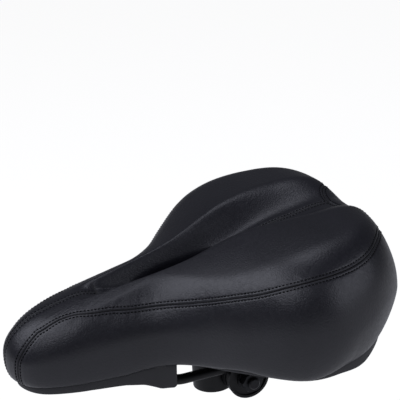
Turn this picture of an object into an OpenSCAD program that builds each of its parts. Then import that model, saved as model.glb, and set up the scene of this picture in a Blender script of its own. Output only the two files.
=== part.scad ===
// Bicycle saddle with a rail clamp for a plain seat post.
// Frame: X forward to the nose, Y to the rider's left, Z up.
// Origin: axis of the seat post bore, at the height of the clamp bolt.

/* [Seat] */
// Length of the seat from rear edge to nose tip
seat_length = 262; // [245:1:280]
// Width of the seat across the rear lobes
seat_width = 206; // [190:1:225]
// Height of the lobes above the clamp bolt
seat_height = 112; // [106:1:120]
// Thickness of the sewn cover
cover_t = 1.2; // [0.8:0.1:2]
// Thickness of the moulded base
pan_t = 3; // [2.5:0.5:4]
// Depth of the gel inserts in the foam
gel_t = 6; // [3:0.5:8]

/* [Cut-out] */
// Rear end of the cut-out in foam and cover
hole_back = -19; // [-22:1:-16]
// Front end of the cut-out in foam and cover
hole_front = 56; // [50:1:60]
// Width of the cut-out in foam and cover
hole_width = 20; // [16:1:24]
// Front end of the shorter slot in the base
slot_front = 41; // [36:1:45]
// Width of the slot in the base
slot_width = 18; // [14:1:20]

/* [Rails] */
// Diameter of the rail wire
wire_d = 7; // [6.8:0.1:7.2]
// Spacing of the rails, centre to centre, at the clamp
rail_gap = 44; // [43:0.5:46]
// Height of the rails above the clamp bolt
rail_z = 8.5; // [8.4:0.1:9]
// Front end of the straight clamping length
straight_front = 28; // [24:1:30]
// Rear end of the straight clamping length
straight_back = -50; // [-54:1:-49]

/* [Clamp] */
// Bore for the top of the seat post
post_d = 22.2; // [22:0.1:22.4]
// Thickness of the steel band
band_t = 2.5; // [2:0.1:3]
// Height of the band on the post
band_h = 26; // [22:1:28]
// Diameter of the clamp bolt
bolt_d = 8; // [7.8:0.1:8]
// Distance of the bolt behind the post axis
bolt_back = 15.5; // [15.5:0.1:16.5]
// Half length of the clamp bolt
bolt_half = 37.5; // [37:0.5:40]
// Diameter of the rail plates
plate_d = 29; // [28:0.5:32]
// Width across flats of the nuts
nut_af = 13; // [12:0.5:13]

/* [Hidden] */

// ---- colours
steel = "#26272a";
zinc = "#3a3b3f";
plastic = "#1c1d20";
foam_colour = "#c9c4b4";
gel_colour = "#6f86a8";
cloth = "#2e2f33";
cloth_side = "#292a2e";

// ---- clamp places across the saddle, measured from the middle plane
ear_in = 9.5;
ear_out = ear_in + band_t;
tooth_h = 0.5;
tooth_half = 0.48;
teeth = 30;
tooth_r = [4.8, 8.6];
boss_r = 8.8;
face_gap = 0.2;
rail_y = rail_gap / 2;
clamp_gap = 1.6;
inner_face = rail_y - clamp_gap / 2;
outer_face = rail_y + clamp_gap / 2;
plate_in = post_d / 2 + band_t + 0.6;
plate_out = outer_face + 5.2;
dish = 1.2;
washer_t = 1.6;
washer_out = plate_out - dish + washer_t;
nut_t = 6.5;
run_fit = 0.06;

// ---- outline seen from above, nose tip to the middle of the rear edge
half_outline = [[141, 0], [132, 19.5], [109, 29], [78, 33.5], [50, 39.5], [27, 54], [5, 78],
                [-19, 97], [-48, 103], [-77, 94], [-99, 77], [-113, 55], [-120, 27], [-121, 0]];
// heights and roundings along the length: [place along X, value]
crest = [[-121, 86], [-96, 109], [-61, 111.5], [-21, 106.5], [19, 91.5], [59, 82.5], [99, 73.5], [141, 62]];
valley = [[-121, 0], [-106, 4], [-86, 9.5], [-51, 14.5], [-11, 19.5], [39, 17], [62, 10.5], [76, 5],
          [86, 1], [94, 0], [141, 0]];
valley_in = [[-121, 6], [0, 5], [60, 4], [95, 3], [141, 3]];
valley_out = [[-121, 29], [-61, 35], [0, 21], [50, 14], [95, 10], [141, 8]];
crown = [[-121, 3], [-61, 7.5], [0, 13.5], [60, 12], [141, 8]];
widest = [[-121, 55.5], [-96, 65.5], [-61, 58], [-21, 58], [19, 52], [59, 50], [99, 44.5], [141, 41]];
rounding = [[-121, 18.5], [-61, 40], [0, 40], [50, 26.5], [99, 25], [141, 27]];
tuck = [[-121, 10.5], [-96, 11.5], [-61, 15], [0, 13], [50, 5.5], [99, 5], [141, 7]];
under_power = [[-121, 1.6], [-65, 1.6], [-30, 0.87], [141, 0.87]];
cover_rim = [[-121, 44], [-96, 34], [-80, 29.5], [-61, 28], [-36, 25.5], [-15, 28.5], [5, 31.5], [20, 30],
             [45, 29.5], [62, 28], [75, 26.5], [141, 26]];
pan_rim = [[-121, 37], [-96, 26], [-82, 21], [-61, 22.5], [-36, 24.5], [-20, 28], [38.6, 29.5], [39.4, 11.5],
           [50, 11], [62, 16], [75, 18.5], [99, 20], [141, 21]];
pan_shoulder = [[-121, 53], [-96, 45], [-61, 31], [-36, 28.5], [-15, 31.5], [5, 34.5], [20, 33], [45, 32.5],
                [62, 31], [75, 29.5], [141, 29]];
pan_crown = [[-121, 62], [-90, 60], [-40, 55], [20, 49], [60, 46], [100, 47], [141, 46]];
// row of the seam, as a share of the way from the cut-out to the lower edge
seam_row = [[0, 0.5], [0.034, 0.5], [0.045, 0.42], [0.06, 0.405], [0.08, 0.435], [0.1, 0.48], [0.125, 0.535],
            [0.15, 0.565], [0.19, 0.565], [0.225, 0.54], [0.26, 0.54], [0.3, 0.55], [0.34, 0.565],
            [0.3625, 0.56], [0.3875, 0.53], [0.4125, 0.505], [0.4375, 0.5], [0.455, 0.42], [0.47, 0.37],
            [0.5, 0.35]];

// ---- grid of the skin: columns run round the seat, rows run from the cut-out outward
nose_column = 2;
nose_seam = 0.034;
nose_lean = 0.013;
foot_at = [0.1699, 0.1712];
steps = 64;
half_columns = concat([0, 0.016, nose_seam, 0.048], [for (i = [4 : 10]) i / steps], foot_at,
                      [for (i = [12 : steps / 2]) i / steps]);
columns = concat(half_columns, [for (i = [len(half_columns) - 2 : -1 : 1]) 1 - half_columns[i]]);
nc = len(columns);
mid_column = len(half_columns) - 1;
rear_column = mid_column - 4;
top_rows = 9;
side_rows = 6;
rows = top_rows + side_rows;
gel_columns = [18, 28];
gel_rows = [3, 8];
pan_steps = 4;
ledge = 0.4;
skirt_t = 2.8;
straight_zone = 0.4;
round_zone = 0.75;
power = 2 / 2.3;
under_turn = 0.92 * 90;

function clip(x) = max(0, min(1, x));
function mix(a, b, f) = a + (b - a) * f;
function ease(f) = let (g = clip(f)) g * g * (3 - 2 * g);
// smooth reading of a table of [place, value] pairs
function row_of(t, x, i = 0) = (i >= len(t) - 2 || x < t[i + 1][0]) ? i : row_of(t, x, i + 1);
function slope(t, i) =
    let (a = max(i - 1, 0), b = min(i + 1, len(t) - 1))
    (t[b][1] - t[a][1]) / (t[b][0] - t[a][0]);
function read(t, x) =
    let (i = row_of(t, x), h = t[i + 1][0] - t[i][0], f = clip((x - t[i][0]) / h),
         a = slope(t, i) * h, b = slope(t, i + 1) * h, f2 = f * f, f3 = f2 * f)
    (2 * f3 - 3 * f2 + 1) * t[i][1] + (f3 - 2 * f2 + f) * a + (3 * f2 - 2 * f3) * t[i + 1][1]
    + (f3 - f2) * b;

// closed smooth outline, u = 0 at the nose tip, 0.5 at the middle of the rear edge
outline_pts = concat(half_outline,
                     [for (i = [len(half_outline) - 2 : -1 : 1]) [half_outline[i][0], -half_outline[i][1]]]);
scale_x = seat_length / 262;
scale_y = seat_width / 206;
function spline(a, b, c, d, f) =
    0.5 * (2 * b + (c - a) * f + (2 * a - 5 * b + 4 * c - d) * f * f + (3 * b - a - 3 * c + d) * f * f * f);
function outline(u) =
    let (n = len(outline_pts), s = u * n, i = floor(s), p = [for (k = [-1 : 2]) outline_pts[(i + k + n) % n]],
         q = spline(p[0], p[1], p[2], p[3], s - i))
    [q[0] * scale_x, q[1] * scale_y];
widths = [for (i = [len(half_outline) - 1 : -1 : 0]) half_outline[i]];
function half_width(x) = max(20, read(widths, x / scale_x) * scale_y);

// a pointed or round loop inside the outline, for the cut-out and the slot in the base
function loop(u, back, front, width, blunt) =
    let (s = sin(360 * u))
    [mix(back, front, 0.5 + 0.5 * cos(360 * u)), sign(s) * width / 2 * pow(abs(s), blunt)];
function hole(u) = loop(u, hole_back, hole_front, hole_width, 0.8);
function slot(u) = loop(u, hole_back + 1, slot_front, slot_width, 0.55);

// height of the cover's upper face before its edge is rounded
function top_height(x, y) =
    let (side = abs(y), v0 = read(valley_in, x), v1 = read(valley_out, x))
    seat_height / 112 * (read(crest, x) - read(valley, x) * (1 - ease((side - v0) / (v1 - v0))))
    - read(crown, x) * pow(side / half_width(x), 2);

// point of the skin at column u and row w, moved in by `inset`
function skin(u, w, inset = 0) =
    let (o = outline(u), h = hole(u), len_oh = norm(o - h), d = (o - h) / len_oh,
         r = min(read(rounding, o[0]), 0.9 * len_oh), e = read(widest, o[0]))
    w <= straight_zone
      ? let (p = o - d * (len_oh - (len_oh - r) * w / straight_zone))
          [p[0], p[1], top_height(p[0], p[1]) - inset]
      : w <= round_zone
        ? let (a = 90 * (w - straight_zone) / (round_zone - straight_zone),
               p = o - d * r + d * (r - inset) * pow(sin(a), power), z = top_height(p[0], p[1]) - inset)
          [p[0], p[1], e + (z - e) * pow(cos(a), power)]
        : let (b = under_turn * (w - round_zone) / (1 - round_zone),
               n = lookup(o[0], under_power),
               p = o - d * inset - d * read(tuck, o[0]) * (1 - pow(cos(b), n)))
          [p[0], p[1], mix(e, read(cover_rim, o[0]), pow(sin(b) / sin(under_turn), n))];

// the nose seam leans forward as it goes down
function lean(u) =
    let (v = min(u, 1 - u), f = v < nose_seam ? v / nose_seam : 1 - ease((v - nose_seam) / 0.08))
    (u < 0.5 ? 1 : -1) * nose_lean * f;
function grid_point(u, j, inset) =
    let (seam = read(seam_row, min(u, 1 - u)))
    j <= top_rows
      ? skin(u, seam * pow(j / top_rows, 1.15), inset)
      : let (f = (j - top_rows) / side_rows) skin(u - lean(u) * f, mix(seam, 1, f), inset);
function gel_depth(i, j) =
    let (k = min(i, nc - i), a = (k - gel_columns[0]) / (gel_columns[1] - gel_columns[0]),
         b = (j - gel_rows[0]) / (gel_rows[1] - gel_rows[0]))
    (a <= 0 || a >= 1 || b <= 0 || b >= 1) ? 0 : gel_t * pow(sin(180 * a) * sin(180 * b), 0.7);

outer_skin = [for (u = columns) [for (j = [0 : rows]) grid_point(u, j, 0)]];
inner_skin = [for (u = columns) [for (j = [0 : rows]) grid_point(u, j, cover_t)]];
foam_skin = [for (i = [0 : nc - 1])
                [for (j = [0 : rows]) grid_point(columns[i], j, cover_t + gel_depth(i, j))]];

// ---- base pan, column by column
function rim_column(i) = columns[i] - lean(columns[i]);
function at_rim(i, inset, z) = let (p = skin(rim_column(i), 1, inset)) [p[0], p[1], z];
function rim_z(i) = read(cover_rim, outline(rim_column(i))[0]);
function foot_z(i) = min(rim_z(i) - 0.5, lookup(outline(rim_column(i))[0], pan_rim));
function pan_edge(i) = at_rim(i, cover_t + 2, read(pan_shoulder, outline(rim_column(i))[0]));
function pan_top(i, f) =
    let (h = hole(rim_column(i)), e = pan_edge(i), x = mix(h[0], e[0], f), y = mix(h[1], e[1], f))
    [x, y, mix(read(pan_crown, x), e[2], pow(max(f, 0), 3))];
function down(p, d) = [p[0], p[1], p[2] - d];
function slot_top(i) =
    let (s = slot(rim_column(i)), h = pan_top(i, 0)) [s[0], s[1], h[2]];
pan_tops = [for (i = [0 : nc - 1]) [for (k = [0 : pan_steps - 1]) pan_top(i, k / pan_steps)]];
lining_share = [for (i = [0 : nc - 1])
    let (a = inner_skin[i][0], b = inner_skin[i][1]) cover_t / norm([b[0] - a[0], b[1] - a[1]])];
bottom_share = [for (i = [0 : nc - 1])
    let (a = pan_tops[i][0], b = pan_tops[i][1]) cover_t / norm([b[0] - a[0], b[1] - a[1]])];

function foam_foot(i) = mix(pan_tops[i][0], pan_tops[i][1], bottom_share[i]);

function pan_section(i) =
    let (fall = rim_z(i) - foot_z(i), e = pan_edge(i))
    concat([down(slot_top(i), pan_t)],
           [for (k = [0 : pan_steps - 1]) down(pan_tops[i][k], pan_t)],
           [at_rim(i, cover_t + pan_t + 3, e[2] - pan_t - 0.5),
            at_rim(i, ledge + skirt_t + 0.1 * fall, foot_z(i)),
            at_rim(i, ledge + 0.1 * fall, foot_z(i)),
            at_rim(i, ledge, rim_z(i)),
            at_rim(i, cover_t, rim_z(i)),
            e],
           [for (k = [pan_steps - 1 : -1 : 1]) pan_tops[i][k]],
           [foam_foot(i), pan_tops[i][0], slot_top(i)]);
function foam_section(i) =
    concat([mix(foam_skin[i][0], foam_skin[i][1], lining_share[i])],
           [for (j = [1 : rows]) foam_skin[i][j]],
           [pan_edge(i)],
           [for (k = [pan_steps - 1 : -1 : 1]) pan_tops[i][k]],
           [foam_foot(i)]);
function lining_section(i) =
    [pan_tops[i][0], foam_foot(i),
     mix(inner_skin[i][0], inner_skin[i][1], lining_share[i]), inner_skin[i][0]];

// ---- solids from grids
// each cell is split in two, the other way round on the right half
function split(a, b, c, d, left) = left ? [[a, b, c], [a, c, d]] : [[a, b, d], [b, c, d]];
function ring_faces(n, m, flip) =
    [for (i = [0 : n - 1], k = [0 : m - 1])
        let (a = i * m + k, d = i * m + (k + 1) % m, b = (i + 1) % n * m + k, c = b + d - a)
        each [for (t = split(a, b, c, d, i < n / 2)) flip ? [t[0], t[2], t[1]] : t]];
// closed ring: sections follow one another round the cut-out
module ring_solid(sections, flip = false) {
    polyhedron(points = [for (s = sections) each s],
               faces = ring_faces(len(sections), len(sections[0]), flip));
}
// sheet between two grids over the cells where keep(i, j) is true; a lens shares its border points
module sheet_solid(top, under, keep, lens = false) {
    n = len(top);
    m = len(top[0]);
    inside = function (i, j) j >= 0 && j < m - 1 && keep((i + n) % n, j);
    border = function (i, j) !(inside(i, j) && inside(i - 1, j) && inside(i, j - 1) && inside(i - 1, j - 1));
    a = function (i, j) (i % n) * m + j;
    b = function (i, j) lens && border(i % n, j) ? a(i, j) : n * m + (i % n) * m + j;
    walls = function (p, q) lens ? [] : [[a(p[0], p[1]), a(q[0], q[1]), b(q[0], q[1])],
                                         [a(p[0], p[1]), b(q[0], q[1]), b(p[0], p[1])]];
    back_walls = function (p, q) lens ? [] : [[a(q[0], q[1]), a(p[0], p[1]), b(q[0], q[1])],
                                              [a(p[0], p[1]), b(p[0], p[1]), b(q[0], q[1])]];
    pair = function (p, q, r)
        lens && border(p[0] % n, p[1]) && border(q[0] % n, q[1]) && border(r[0] % n, r[1]) ? []
        : [[a(p[0], p[1]), a(q[0], q[1]), a(r[0], r[1])], [b(p[0], p[1]), b(r[0], r[1]), b(q[0], q[1])]];
    faces = [for (i = [0 : n - 1], j = [0 : m - 2]) if (inside(i, j))
        each concat([for (t = split([i, j], [i + 1, j], [i + 1, j + 1], [i, j + 1], i < n / 2))
                        each pair(t[0], t[1], t[2])],
                    inside(i, j - 1) ? [] : back_walls([i, j], [i + 1, j]),
                    inside(i, j + 1) ? [] : walls([i, j + 1], [i + 1, j + 1]),
                    inside(i - 1, j) ? [] : walls([i, j], [i, j + 1]),
                    inside(i + 1, j) ? [] : back_walls([i + 1, j], [i + 1, j + 1]))];
    polyhedron(points = concat([for (r = top) each r], [for (r = under) each r]), faces = faces);
}

// ---- rail wire: one piece, bent as a hairpin at the nose
bend_r = 25;
loop_r = 9;
rise = 14.7;
toe_in = 11;
turn_f = acos(cos(toe_in) * cos(rise));
roll_f = atan2(sin(toe_in), cos(toe_in) * sin(rise));
front_bend = [straight_front + bend_r * sin(turn_f),
              rail_y - bend_r * (1 - cos(turn_f)) * sin(roll_f),
              rail_z + bend_r * (1 - cos(turn_f)) * cos(roll_f)];
leg_front = (front_bend[1] - loop_r * cos(toe_in)) / sin(toe_in);
loop_x = leg_front * cos(toe_in) - loop_r * sin(toe_in);
turn_b = 38;
roll_b = 15;
leg_back = 34;
wire_sides = 20;
sunk = 0.5;
blend = 0.01;

module rod(length, d) {
    rotate([0, 90, 0]) cylinder(h = length, d = d, $fn = 64);
}
module nose_plane() {
    translate([front_bend[0], 0, front_bend[2]]) rotate([0, -rise, 0]) children();
}
// stations of the wire: [point, direction]
function arc_station(x, way, roll, turn) =
    let (lift = bend_r * (1 - cos(turn)))
    [[x + way * bend_r * sin(turn), rail_y - lift * sin(roll), rail_z + lift * cos(roll)],
     [way * cos(turn), -sin(turn) * sin(roll), sin(turn) * cos(roll)]];
function loop_station(a) =
    let (x = loop_x + loop_r * cos(a))
    [[front_bend[0] + x * cos(rise), loop_r * sin(a), front_bend[2] + x * sin(rise)],
     [sin(a) * cos(rise), -cos(a), sin(a) * sin(rise)]];
function other_side(station) =
    let (p = station[0], d = station[1]) [[p[0], -p[1], p[2]], [-d[0], d[1], -d[2]]];
front_stations = concat([[[straight_front - sunk, rail_y, rail_z], [1, 0, 0]]],
                        [for (k = [0 : 3]) arc_station(straight_front, 1, roll_f, k / 3 * turn_f)],
                        [for (k = [0 : 6]) loop_station((90 - toe_in) * (1 - k / 6))]);
nose_stations = concat(front_stations,
                       [for (k = [len(front_stations) - 2 : -1 : 0]) other_side(front_stations[k])]);
leg_end = arc_station(straight_back, -1, -roll_b, turn_b);
rear_stations = concat([[[straight_back + sunk, rail_y, rail_z], [-1, 0, 0]]],
                       [for (k = [0 : 5]) arc_station(straight_back, -1, -roll_b, k / 5 * turn_b)],
                       [[leg_end[0] + leg_back * leg_end[1], leg_end[1]]]);
module sweep(stations, d) {
    n = len(stations);
    ring = function (s)
        let (side = cross(s[1], [0, 0, 1]) / norm(cross(s[1], [0, 0, 1])), up = cross(side, s[1]))
        [for (k = [0 : wire_sides - 1])
            let (a = 360 * k / wire_sides) s[0] + d / 2 * (cos(a) * side + sin(a) * up)];
    polyhedron(
        points = [for (s = stations) each ring(s)],
        faces = concat([[for (k = [wire_sides - 1 : -1 : 0]) k]],
                       [[for (k = [0 : wire_sides - 1]) (n - 1) * wire_sides + k]],
                       [for (i = [0 : n - 2], k = [0 : wire_sides - 1])
                           let (a = i * wire_sides + k, b = i * wire_sides + (k + 1) % wire_sides)
                           each [[a, b, b + wire_sides], [a, b + wire_sides, a + wire_sides]]]));
}
// exact round spaces in the carriers that hold the wire
module rear_leg(d) {
    p = arc_station(straight_back, -1, -roll_b, turn_b)[0];
    translate(p) rotate([-roll_b, 0, 0]) mirror([1, 0, 0]) rotate([0, -turn_b, 0]) rod(leg_back, d);
}
module nose_loop(d) {
    nose_plane() translate([loop_x, 0, 0]) rotate([0, 0, toe_in - 90])
        rotate_extrude(angle = 180 - 2 * toe_in, $fn = 96) translate([loop_r, 0]) circle(d = d, $fn = 64);
}

// ---- helpers for the clamp: round things on the bolt axis, built outward along +Y
module on_bolt(from, to, r, r2 = 0) {
    translate([-bolt_back, from, 0]) rotate([-90, 0, 0])
        cylinder(h = to - from, r1 = r, r2 = r2 == 0 ? r : r2, $fn = 96);
}
module rail_groove() {
    translate([-bolt_back - 30, rail_y, rail_z]) rod(60, wire_d + 2 * run_fit);
}
module right_side() {
    mirror([0, 1, 0]) children();
}

module post_band() {
    color(steel) difference() {
        union() {
            cylinder(h = band_h, r = post_d / 2 + band_t, center = true, $fn = 96);
            for (s = [-1, 1]) scale([1, s, 1]) {
                on_bolt(ear_in, ear_out, band_h / 2);
                translate([-bolt_back, ear_in, -band_h / 2]) cube([9, band_t, band_h]);
            }
        }
        cylinder(h = band_h + 2, r = post_d / 2, center = true, $fn = 96);
        translate([-40, -ear_in, -band_h]) cube([40, 2 * ear_in, 2 * band_h]);
        on_bolt(-20, 20, bolt_d / 2 + 0.1);
    }
}
module clamp_bolt() {
    color(zinc) union() {
        on_bolt(-bolt_half + 0.8, bolt_half - 0.8, bolt_d / 2);
        on_bolt(bolt_half - 0.8, bolt_half, bolt_d / 2, bolt_d / 2 - 0.8);
        right_side() on_bolt(bolt_half - 0.8, bolt_half, bolt_d / 2, bolt_d / 2 - 0.8);
    }
}
module tooth_ring(from) {
    for (i = [0 : teeth - 1])
        translate([-bolt_back, from + tooth_h, 0]) rotate([0, i * 360 / teeth, 0])
            translate([tooth_r[0], 0, 0]) rotate([0, 90, 0])
                linear_extrude(height = tooth_r[1] - tooth_r[0])
                    polygon([[-tooth_half, 0.1], [0, -tooth_h], [tooth_half, 0.1]]);
}
module inner_plate() {
    color(steel) difference() {
        union() {
            on_bolt(ear_out + face_gap + tooth_h, plate_in, boss_r);
            on_bolt(plate_in, inner_face, plate_d / 2);
            tooth_ring(ear_out + face_gap);
        }
        rail_groove();
        on_bolt(0, 40, bolt_d / 2 + 0.08);
    }
}
module outer_plate() {
    color(steel) difference() {
        on_bolt(outer_face, plate_out, plate_d / 2);
        rail_groove();
        on_bolt(0, 40, bolt_d / 2 + 0.25);
        on_bolt(plate_out - dish, plate_out + 1, plate_d / 2 - 1.8);
    }
}
module washer() {
    color(zinc) difference() {
        on_bolt(washer_out - washer_t, washer_out, 8);
        on_bolt(0, 60, bolt_d / 2 + 0.2);
    }
}
module nut() {
    color(zinc) difference() {
        intersection() {
            translate([-bolt_back, washer_out, 0]) rotate([-90, 0, 0])
                cylinder(h = nut_t, r = nut_af / 2 / cos(30), $fn = 6);
            on_bolt(washer_out - 0.01, washer_out + nut_t + 0.01, nut_af / 2 + 3.2, nut_af / 2 + 0.3);
        }
        on_bolt(0, 60, bolt_d / 2 + 0.05);
    }
}
module seat_rails() {
    color(steel) union() {
        for (s = [-1, 1]) scale([1, s, 1]) {
            translate([straight_back, rail_y, rail_z]) rod(straight_front - straight_back, wire_d);
            sweep(rear_stations, wire_d - 2 * blend);
        }
        sweep(nose_stations, wire_d - 2 * blend);
    }
}

// ---- carriers that hold the rail wire in the base
bracket_top = 5.5;
bracket_low = -4.5;
bracket_half_outline = [[loop_x - 7, 16.5], [loop_x + 5, 15], [loop_x + 15.5, 9]];
bridge_x = [-98, -78];
bridge_z = [25, 45];
bridge_half = 36;
bridge_screw = [-88.5, 13];
screw_r = 2.4;
head_r = 4.6;
head_h = 2.8;
rear_post_top = 54.2;
nose_post_top = 43.6;
pilot = 9;
module loop_pocket(d) {
    nose_loop(d);
    for (s = [-1, 1]) scale([1, s, 1])
        nose_plane() translate([0, front_bend[1], 0]) rotate([0, 0, -toe_in]) rod(leg_front, d);
}
module nose_bracket() {
    color(plastic) difference() {
        nose_plane() translate([0, 0, bracket_low]) linear_extrude(height = bracket_top - bracket_low)
            polygon([for (p = bracket_half_outline) p,
                     for (i = [len(bracket_half_outline) - 1 : -1 : 0])
                         [bracket_half_outline[i][0], -bracket_half_outline[i][1]]]);
        loop_pocket(wire_d + 0.1);
        nose_plane() translate([loop_x, 0, -20]) cylinder(h = 40, r = screw_r + 0.1, $fn = 48);
    }
}
module rear_bridge() {
    color(plastic) difference() {
        translate([0, bridge_half, 0]) rotate([90, 0, 0]) linear_extrude(height = 2 * bridge_half)
            polygon([[bridge_x[0], bridge_z[1]], [bridge_x[0], bridge_z[0] + 9],
                     [bridge_x[0] + 7, bridge_z[0]], [bridge_x[1], bridge_z[0]], [bridge_x[1], bridge_z[1]]]);
        rear_leg(wire_d + 0.1);
        right_side() rear_leg(wire_d + 0.1);
        for (s = [-1, 1]) translate([bridge_screw[0], s * bridge_screw[1], 0])
            cylinder(h = 60, r = screw_r + 0.1, $fn = 48);
    }
}
module screw(length) {
    cylinder(h = length, r = screw_r, $fn = 48);
    translate([0, 0, -head_h]) cylinder(h = head_h, r1 = head_r - 1, r2 = head_r, $fn = 48);
}
module carrier_screws() {
    color(zinc) {
        for (s = [-1, 1]) translate([bridge_screw[0], s * bridge_screw[1], bridge_z[0]])
            screw(bridge_z[1] - bridge_z[0] + pilot - 1);
        nose_plane() translate([loop_x, 0, bracket_low]) screw(bracket_top - bracket_low + pilot - 1);
    }
}

module base_pan() {
    color(plastic) difference() {
        union() {
            ring_solid([for (i = [0 : nc - 1]) pan_section(i)], true);
            for (s = [-1, 1]) translate([bridge_screw[0], s * bridge_screw[1], bridge_z[1]])
                cylinder(h = rear_post_top - bridge_z[1], r = 7, $fn = 48);
            intersection() {
                nose_plane() translate([loop_x, 0, bracket_top]) cylinder(h = 20, r = 6, $fn = 48);
                translate([loop_x, -10, 0]) cube([60, 20, nose_post_top]);
            }
        }
        for (s = [-1, 1]) translate([bridge_screw[0], s * bridge_screw[1], bridge_z[1] - 1])
            cylinder(h = pilot + 1, r = screw_r + 0.05, $fn = 48);
        nose_plane() translate([loop_x, 0, bracket_top - 1])
            cylinder(h = pilot + 1, r = screw_r + 0.05, $fn = 48);
    }
}
module foam_pad() {
    color(foam_colour) ring_solid([for (i = [0 : nc - 1]) foam_section(i)]);
}
module gel_insert(left) {
    first = left ? gel_columns[0] : nc - gel_columns[1];
    last = left ? gel_columns[1] : nc - gel_columns[0];
    color(gel_colour) sheet_solid(inner_skin, foam_skin, function (i, j)
        i >= first && i < last && j >= gel_rows[0] && j < gel_rows[1], lens = true);
}
module cover_panel(colour, keep) {
    color(colour) sheet_solid(outer_skin, inner_skin, keep);
}
module cover_top(left) {
    cover_panel(cloth, function (i, j)
        (left ? i < mid_column : i >= mid_column)
        && (j < top_rows || i < nose_column || i >= nc - nose_column));
}
module cover_side(left) {
    cover_panel(cloth_side, function (i, j)
        j >= top_rows && (left ? i >= nose_column && i < rear_column
                               : i >= nc - rear_column && i < nc - nose_column));
}
module cover_rear() {
    cover_panel(cloth_side, function (i, j) j >= top_rows && i >= rear_column && i < nc - rear_column);
}
module channel_lining() {
    color(cloth) ring_solid([for (i = [0 : nc - 1]) lining_section(i)], true);
}

post_band();
clamp_bolt();
inner_plate();  // inner_plate_left
right_side() inner_plate();  // inner_plate_right
outer_plate();  // outer_plate_left
right_side() outer_plate();  // outer_plate_right
washer();  // washer_left
right_side() washer();  // washer_right
nut();  // nut_left
right_side() nut();  // nut_right
seat_rails();
nose_bracket();
rear_bridge();
carrier_screws();
base_pan();
foam_pad();
gel_insert(true);  // gel_insert_left
gel_insert(false);  // gel_insert_right
cover_top(true);  // cover_top_left
cover_top(false);  // cover_top_right
cover_side(true);  // cover_side_left
cover_side(false);  // cover_side_right
cover_rear();
channel_lining();
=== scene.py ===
"""Looks of a bicycle saddle with a rail clamp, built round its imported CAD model.

The shape functions work in millimetres and every mesh is in metres. X runs forward to the nose,
Y to the rider's left and Z up, with the origin on the seat post axis at the clamp bolt, as in the CAD.
"""
import math

import bpy
import numpy as np
from mathutils import Matrix, Vector
from mathutils.bvhtree import BVHTree


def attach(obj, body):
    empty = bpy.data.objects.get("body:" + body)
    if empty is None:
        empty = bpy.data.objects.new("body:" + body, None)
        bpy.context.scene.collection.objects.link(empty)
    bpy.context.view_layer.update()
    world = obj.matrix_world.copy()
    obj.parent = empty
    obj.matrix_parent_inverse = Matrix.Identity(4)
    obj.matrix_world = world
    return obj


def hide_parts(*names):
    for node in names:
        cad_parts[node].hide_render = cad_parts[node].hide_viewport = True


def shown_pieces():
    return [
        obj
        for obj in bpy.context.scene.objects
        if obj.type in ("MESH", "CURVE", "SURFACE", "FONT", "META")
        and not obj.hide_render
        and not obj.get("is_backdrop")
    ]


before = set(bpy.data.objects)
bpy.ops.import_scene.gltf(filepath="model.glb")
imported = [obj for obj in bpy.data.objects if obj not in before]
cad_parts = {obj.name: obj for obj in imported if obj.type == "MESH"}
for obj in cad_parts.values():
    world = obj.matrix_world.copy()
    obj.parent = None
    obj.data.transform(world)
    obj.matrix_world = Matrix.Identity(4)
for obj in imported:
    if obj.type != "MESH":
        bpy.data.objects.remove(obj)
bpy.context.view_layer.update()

MM = 0.001

# ---------------------------------------------------------------- photograph
W = H = 400
POINTS = {
    "left_edge": (4.3, 353),
    "right_edge": (397.3, 285),
    "top_edge": (272, 168),
    "bottom_edge": (241, 395.6),
    "nose_seam": (37, 329),
    "side_seam_middle": (158, 306),
    "side_seam_rear": (306, 284),
    "rear_corner": (378, 226),
    "far_corner": (323, 186),
    "centre_seam": (48.6, 304),
    "channel_end": (96, 291),
    "foot_corner": (178, 388),
    "near_rail": (185, 378.2),
    "bolt_end": (254.5, 383),
}

# ---------------------------------------------------------------- camera
AIM = np.array([-1.3, 0.0, 54.0]) * MM
AIM_AT = (209.0, 294.1)
AZIMUTH = 20.63
ELEVATION = 25.54
DISTANCE = 0.9
ROLL = -3.7
SENSOR = 36.0
LENS = 120.7


def unit(v):
    """v over its length."""
    return v / np.linalg.norm(v, axis=-1, keepdims=True)


def camera_axes():
    """Place and axes (right, up, back) of the camera: it looks at AIM from its azimuth and elevation,
    is rolled, and is then turned so that AIM shows at AIM_AT instead of at the middle."""
    a, e, r = (math.radians(v) for v in (AZIMUTH, ELEVATION, ROLL))
    back = np.array([math.sin(a) * math.cos(e), math.cos(a) * math.cos(e), math.sin(e)])
    right = unit(np.cross([0, 0, 1], back))
    up = np.cross(back, right)
    right, up = right * math.cos(r) + up * math.sin(r), up * math.cos(r) - right * math.sin(r)
    focal = W * LENS / SENSOR
    off_axis = Vector((AIM_AT[0] - W / 2, H / 2 - AIM_AT[1], -focal)).normalized()
    turn = off_axis.rotation_difference(Vector((0, 0, -1))).to_matrix()
    axes = np.stack([right, up, back], axis=1) @ np.array(turn)
    return AIM + DISTANCE * back, axes


CAMERA_PLACE, CAMERA_AXES = camera_axes()


def make_camera():
    """The camera at the photograph's viewing angle, with no shift and no depth of field."""
    data = bpy.data.cameras.new("camera")
    data.sensor_fit = "AUTO"
    data.sensor_width = SENSOR
    data.lens = LENS
    data.clip_start, data.clip_end = 0.01, 50
    camera = bpy.data.objects.new("camera", data)
    bpy.context.collection.objects.link(camera)
    turn = Matrix([list(row) for row in CAMERA_AXES]).to_4x4()
    camera.matrix_world = Matrix.Translation(CAMERA_PLACE) @ turn
    bpy.context.scene.camera = camera


def project(points):
    """Where points (metres) show in the photograph's frame: their camera coordinates over their depth."""
    local = (np.asarray(points) - CAMERA_PLACE) @ CAMERA_AXES
    focal = max(W, H) * LENS / SENSOR
    return np.stack([W / 2 - focal * local[..., 0] / local[..., 2],
                     H / 2 + focal * local[..., 1] / local[..., 2]], axis=-1)


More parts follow.
